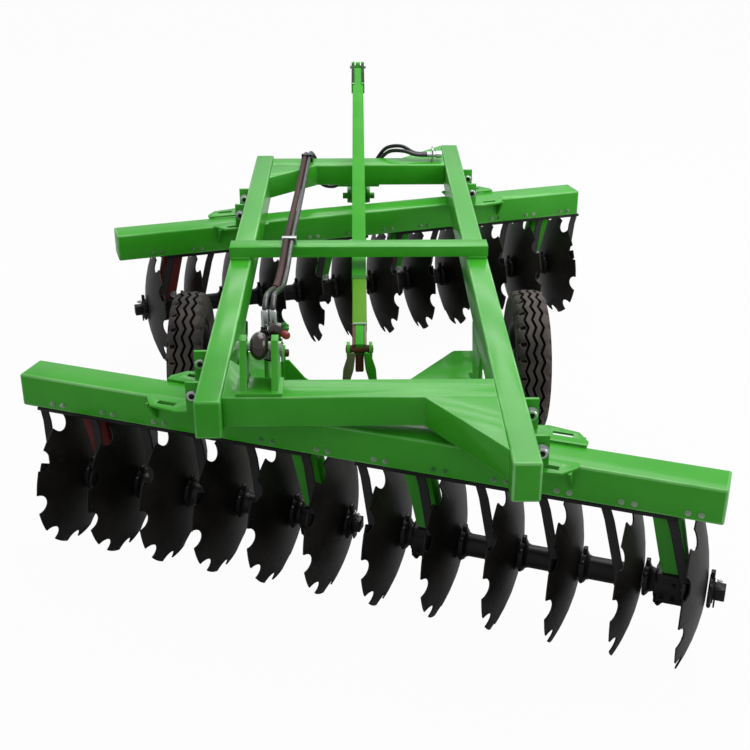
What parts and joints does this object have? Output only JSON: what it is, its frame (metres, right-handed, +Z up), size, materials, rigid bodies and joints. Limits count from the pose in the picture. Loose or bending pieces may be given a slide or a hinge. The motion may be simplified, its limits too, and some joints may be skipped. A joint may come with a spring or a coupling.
{
  "type": "disc harrow",
  "caption": "Trailed offset disc harrow: box frame, two angled gangs of notched discs, rockshaft transport wheels, lift cylinder, levelling rod and drawbar.",
  "frame": {"origin": "middle of the footprint, on the ground under the discs", "axes": "+Z up, +Y forward towards the hitch, +X to the machine's right"},
  "size_m": [2.7134, 5.3478, 1.2817],
  "materials": {
    "green_paint": "gloss",
    "maroon_primer": "satin primer",
    "disc_steel": "dark rolled steel",
    "black_paint": "satin",
    "tyre": "matt",
    "zinc": "zinc plated",
    "chrome": "polished",
    "hose_rubber": "satin"
  },
  "bodies": {
    "frame": {"left_rail": "green_paint", "right_rail": "green_paint", "rear_cross_beam": "green_paint", "front_cross_beam": "green_paint", "middle_cross_beam": "green_paint", "rear_right_brace": "green_paint", "front_right_brace": "green_paint", "front_left_brace": "green_paint", "left_shaft_hanger": "green_paint", "right_shaft_hanger": "green_paint", "cylinder_bracket": "green_paint", "drawbar_bracket": "green_paint", "rear_gang_beam": "green_paint", "rear_left_clamp": "green_paint", "rear_right_clamp": "green_paint", "rear_left_scrapers": "black_paint", "rear_right_scrapers": "black_paint", "rear_standard_inner_left": "green_paint", "rear_standard_inner_right": "green_paint", "rear_standard_outer_right": "green_paint", "rear_standard_outer_left": "maroon_primer", "front_gang_beam": "green_paint", "front_left_clamp": "green_paint", "front_right_clamp": "green_paint", "front_left_scrapers": "black_paint", "front_right_scrapers": "black_paint", "front_standard_inner_left": "green_paint", "front_standard_inner_right": "green_paint", "front_standard_outer_right": "green_paint", "front_standard_outer_left": "maroon_primer", "hose_clamp_front": "black_paint", "hose_clamp_lower": "black_paint", "hose_left": "hose_rubber", "hose_right": "hose_rubber", "hose_clamp_middle": "zinc", "hose_couplers": "zinc"},
    "rockshaft": {"rockshaft": "green_paint", "left_wheel_arm": "green_paint", "right_wheel_arm": "green_paint"},
    "left_wheel": {"left_tyre": "tyre", "left_wheel_rim": "black_paint"},
    "right_wheel": {"right_tyre": "tyre", "right_wheel_rim": "black_paint"},
    "cylinder_barrel": {"cylinder_barrel": "black_paint"},
    "cylinder_rod": {"cylinder_rod": "chrome"},
    "drawbar": {"drawbar": "green_paint", "hitch_tongue": "green_paint"},
    "levelling_rod": {"levelling_rod": "green_paint"},
    "rear_left_gang": {"rear_left_gang": "disc_steel"},
    "rear_right_gang": {"rear_right_gang": "disc_steel"},
    "front_left_gang": {"front_left_gang": "disc_steel"},
    "front_right_gang": {"front_right_gang": "disc_steel"}
  },
  "joints": [
    {"name": "rear_left_gang_spin", "type": "hinge", "parent": "frame", "child": "rear_left_gang", "pos_m": [-0.01734, -1.9451, 0.3], "axis": [0.9397, -0.342, 0], "continuous": true},
    {"name": "rear_right_gang_spin", "type": "hinge", "parent": "frame", "child": "rear_right_gang", "pos_m": [-0.01734, -1.9451, 0.3], "axis": [0.9397, -0.342, 0], "continuous": true},
    {"name": "front_left_gang_spin", "type": "hinge", "parent": "frame", "child": "front_left_gang", "pos_m": [0.00866, 0.5939, 0.3], "axis": [0.9588, 0.284, 0], "continuous": true},
    {"name": "front_right_gang_spin", "type": "hinge", "parent": "frame", "child": "front_right_gang", "pos_m": [0.00866, 0.5939, 0.3], "axis": [0.9588, 0.284, 0], "continuous": true},
    {"name": "wheel_lift", "type": "hinge", "parent": "frame", "child": "rockshaft", "pos_m": [0.02266, -1.2321, 0.508], "axis": [1, 0, 0], "range_deg": [-19, 17]},
    {"name": "left_wheel_spin", "type": "hinge", "parent": "rockshaft", "child": "left_wheel", "pos_m": [-0.79234, -0.5751, 0.352], "axis": [1, 0, 0], "continuous": true},
    {"name": "right_wheel_spin", "type": "hinge", "parent": "rockshaft", "child": "right_wheel", "pos_m": [0.83766, -0.5751, 0.352], "axis": [1, 0, 0], "continuous": true},
    {"name": "cylinder_tilt", "type": "hinge", "parent": "frame", "child": "cylinder_barrel", "pos_m": [-0.34234, -1.9621, 1.068], "axis": [1, 0, 0], "range_deg": [-1.4, 1.5]},
    {"name": "cylinder_stroke", "type": "slide", "parent": "cylinder_barrel", "child": "cylinder_rod", "axis": [0, 0.8963, -0.4434], "range_m": [-0.054, 0.06]},
    {"name": "drawbar_hinge", "type": "hinge", "parent": "frame", "child": "drawbar", "pos_m": [0.02266, 1.1229, 0.668], "axis": [1, 0, 0], "range_deg": [-10.2, 9.2]},
    {"name": "levelling_rod_pivot", "type": "hinge", "parent": "rockshaft", "child": "levelling_rod", "pos_m": [0.02266, -1.2661, 0.738], "axis": [1, 0, 0], "range_deg": [-14.6, 16.3]}
  ],
  "couplings": [
    {"joint": "cylinder_tilt", "follows": "wheel_lift", "ratio": -0.0727},
    {"joint": "cylinder_stroke", "follows": "wheel_lift", "m_per_rad": -0.17523},
    {"joint": "drawbar_hinge", "follows": "wheel_lift", "ratio": 0.52993},
    {"joint": "levelling_rod_pivot", "follows": "wheel_lift", "ratio": -0.84679}
  ]
}
